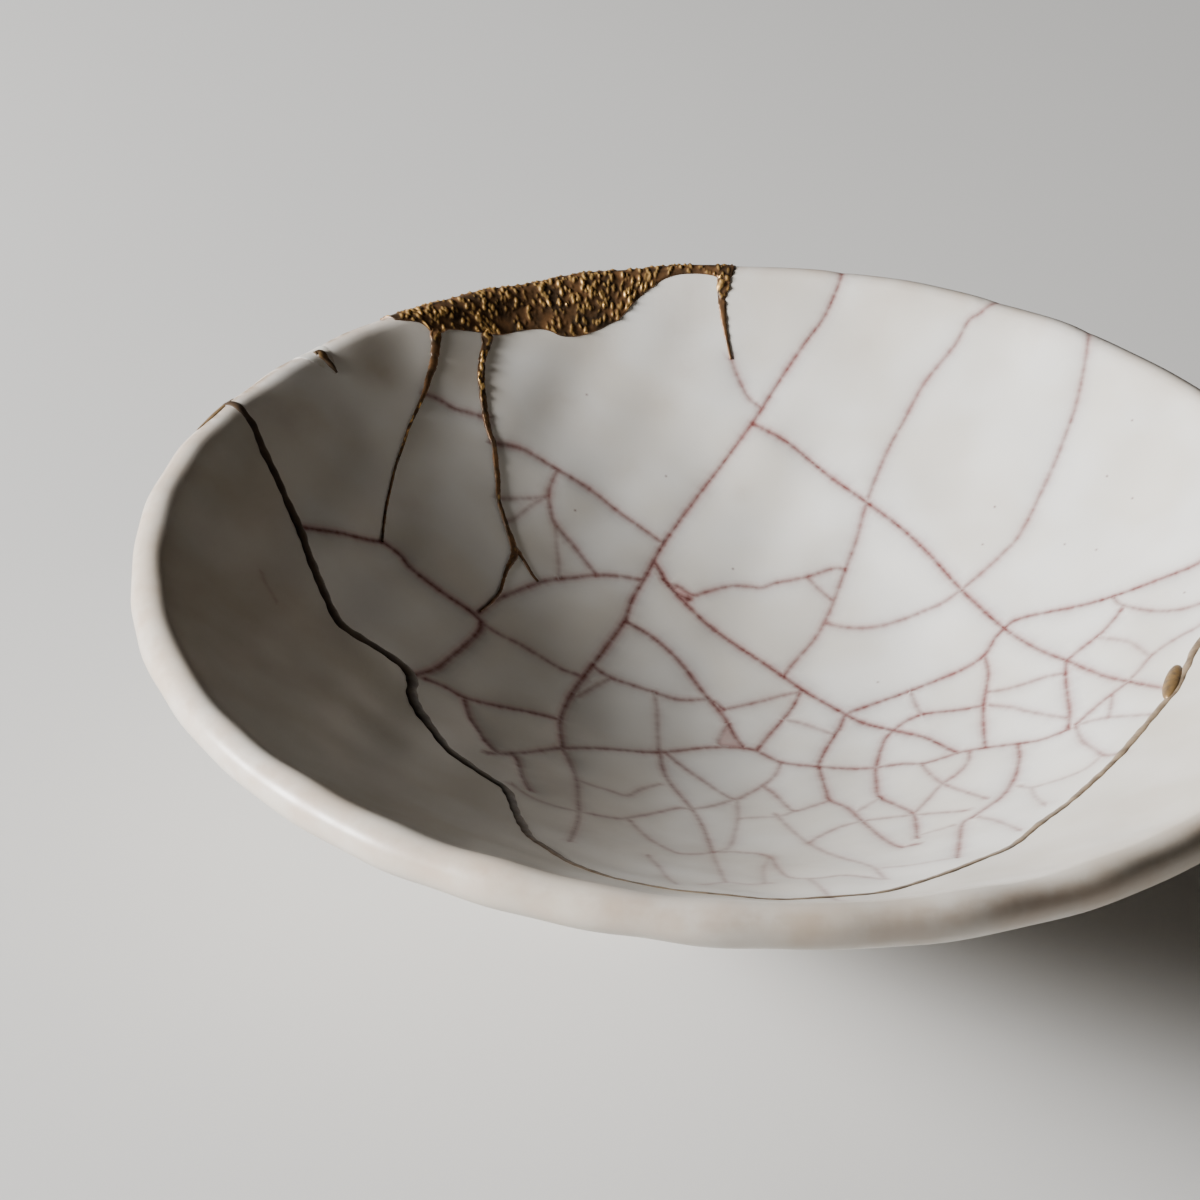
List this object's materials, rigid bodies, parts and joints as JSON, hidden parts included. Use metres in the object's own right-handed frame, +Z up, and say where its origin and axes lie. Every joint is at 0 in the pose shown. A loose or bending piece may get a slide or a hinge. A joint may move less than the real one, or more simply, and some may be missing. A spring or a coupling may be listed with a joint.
{
  "type": "kintsugi bowl",
  "caption": "Shallow round footed bowl in crackled glazed stoneware, broken and mended with dark and gold lacquer.",
  "frame": {"origin": "on the table, at the centre of the foot ring", "axes": "+Z up along the bowl's axis; +Y towards the side of the rim with the gold repair; the broken-off sherd is on the -Y side"},
  "size_m": [0.1204, 0.1195, 0.033],
  "materials": {
    "crackled_glaze": "satin milky glaze with a net of fine purple-brown crackle",
    "plain_glaze": "satin milky glaze with almost no crackle",
    "dark_lacquer": "dark brown lacquer, satin, with traces of gold",
    "gold_lacquer": "bronze-gold powder on lacquer that wrinkled as it dried"
  },
  "bodies": {
    "root": {"bowl_body": "crackled_glaze", "front_sherd": "plain_glaze", "seam_lacquer": "dark_lacquer", "rim_fill": "gold_lacquer", "chip_dab": "gold_lacquer"}
  },
  "joints": []
}
